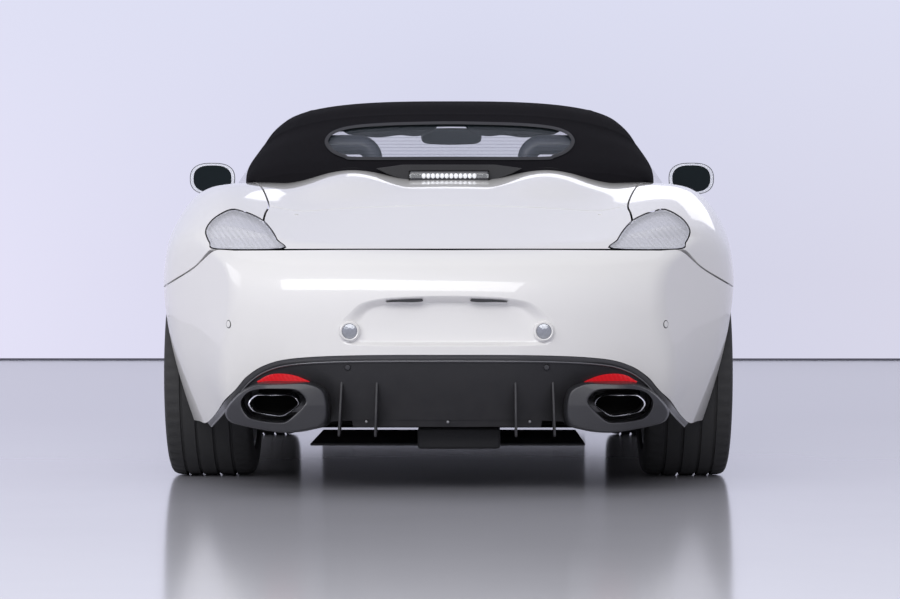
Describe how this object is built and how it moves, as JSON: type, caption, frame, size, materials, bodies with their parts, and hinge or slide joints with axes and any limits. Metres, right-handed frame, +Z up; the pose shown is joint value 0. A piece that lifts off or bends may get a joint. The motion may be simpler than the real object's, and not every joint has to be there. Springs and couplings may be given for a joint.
{
  "type": "roadster",
  "caption": "White mid-engined roadster with its black fabric roof up, hinged doors and lids, steered front wheels and oval tailpipes.",
  "frame": {"origin": "on the ground under the middle of the car's length and width", "axes": "+X towards the car's right side, +Y forwards, +Z up"},
  "size_m": [1.9826, 4.3285, 1.264],
  "materials": {
    "body_paint": "gloss",
    "black_trim": "satin",
    "chassis_paint": "satin",
    "engine_metal": "rough",
    "cabin_trim": "satin",
    "seat_leather": "satin",
    "hoop_padding": "satin",
    "clear_lens": "clear",
    "glazing": "tinted",
    "roof_fabric": "woven",
    "exhaust_steel": "polished",
    "tyre_rubber": "matte",
    "rim_alloy": "painted silver"
  },
  "bodies": {
    "car": {"floor_pan": "chassis_paint", "cabin_walls": "cabin_trim", "sills": "black_trim", "front_bumper": "body_paint", "rear_bumper": "body_paint", "diffuser": "black_trim", "exhaust": "exhaust_steel", "front_wings": "body_paint", "rear_wings": "body_paint", "roof_lid": "body_paint", "head_lamps": "clear_lens", "tail_lamps": "clear_lens", "stop_lamp": "clear_lens", "windscreen_frame": "black_trim", "windscreen": "glazing", "cabin_mirror": "black_trim", "fabric_roof": "roof_fabric", "rear_window": "glazing", "roll_hoops": "hoop_padding", "seats": "seat_leather", "dashboard": "cabin_trim", "centre_console": "cabin_trim", "engine": "engine_metal", "front_suspension": "chassis_paint", "rear_suspension": "chassis_paint", "wheel_liners": "black_trim", "rear_knuckles": "chassis_paint"},
    "front_left_hub": {"front_left_knuckle": "chassis_paint"},
    "front_right_hub": {"front_right_knuckle": "chassis_paint"},
    "front_left_wheel": {"front_left_tyre": "tyre_rubber", "front_left_rim": "rim_alloy"},
    "front_right_wheel": {"front_right_tyre": "tyre_rubber", "front_right_rim": "rim_alloy"},
    "rear_left_wheel": {"rear_left_tyre": "tyre_rubber", "rear_left_rim": "rim_alloy"},
    "rear_right_wheel": {"rear_right_tyre": "tyre_rubber", "rear_right_rim": "rim_alloy"},
    "left_door_body": {"left_door": "body_paint", "left_door_glass": "glazing", "left_mirror": "black_trim"},
    "right_door_body": {"right_door": "body_paint", "right_door_glass": "glazing", "right_mirror": "black_trim"},
    "front_lid_body": {"front_lid": "body_paint"},
    "rear_lid_body": {"rear_lid": "body_paint"},
    "steering_wheel_body": {"steering_wheel": "cabin_trim"}
  },
  "joints": [
    {"name": "steer_left", "type": "hinge", "parent": "car", "child": "front_left_hub", "pos_m": [-0.6575, 1.2355, 0.323], "axis": [0, 0, 1], "range_deg": [-30, 30]},
    {"name": "steer_right", "type": "hinge", "parent": "car", "child": "front_right_hub", "pos_m": [0.6575, 1.2355, 0.323], "axis": [0, 0, 1], "range_deg": [-30, 30]},
    {"name": "front_left_spin", "type": "hinge", "parent": "front_left_hub", "child": "front_left_wheel", "pos_m": [-0.7425, 1.2355, 0.323], "axis": [-1, 0, 0], "continuous": true},
    {"name": "front_right_spin", "type": "hinge", "parent": "front_right_hub", "child": "front_right_wheel", "pos_m": [0.7425, 1.2355, 0.323], "axis": [-1, 0, 0], "continuous": true},
    {"name": "rear_left_spin", "type": "hinge", "parent": "car", "child": "rear_left_wheel", "pos_m": [-0.7645, -1.1795, 0.33], "axis": [-1, 0, 0], "continuous": true},
    {"name": "rear_right_spin", "type": "hinge", "parent": "car", "child": "rear_right_wheel", "pos_m": [0.7645, -1.1795, 0.33], "axis": [-1, 0, 0], "continuous": true},
    {"name": "steering_wheel_turn", "type": "hinge", "parent": "car", "child": "steering_wheel_body", "pos_m": [-0.37, 0.44, 0.8], "axis": [0, -0.9272, 0.3746], "range_deg": [-420, 420]},
    {"name": "left_door_hinge", "type": "hinge", "parent": "car", "child": "left_door_body", "pos_m": [-0.861, 0.782, 0.595], "axis": [0, 0, -1], "range_deg": [0, 65]},
    {"name": "right_door_hinge", "type": "hinge", "parent": "car", "child": "right_door_body", "pos_m": [0.861, 0.782, 0.595], "axis": [0, 0, 1], "range_deg": [0, 65]},
    {"name": "front_lid_hinge", "type": "hinge", "parent": "car", "child": "front_lid_body", "pos_m": [0, 0.846, 0.826], "axis": [1, 0, 0], "range_deg": [0, 55]},
    {"name": "rear_lid_hinge", "type": "hinge", "parent": "car", "child": "rear_lid_body", "pos_m": [0, -1.44, 0.806], "axis": [-1, 0, 0], "range_deg": [0, 45]}
  ],
  "couplings": [
    {"joint": "steer_right", "follows": "steer_left", "ratio": 1},
    {"joint": "steering_wheel_turn", "follows": "steer_left", "ratio": 14}
  ]
}
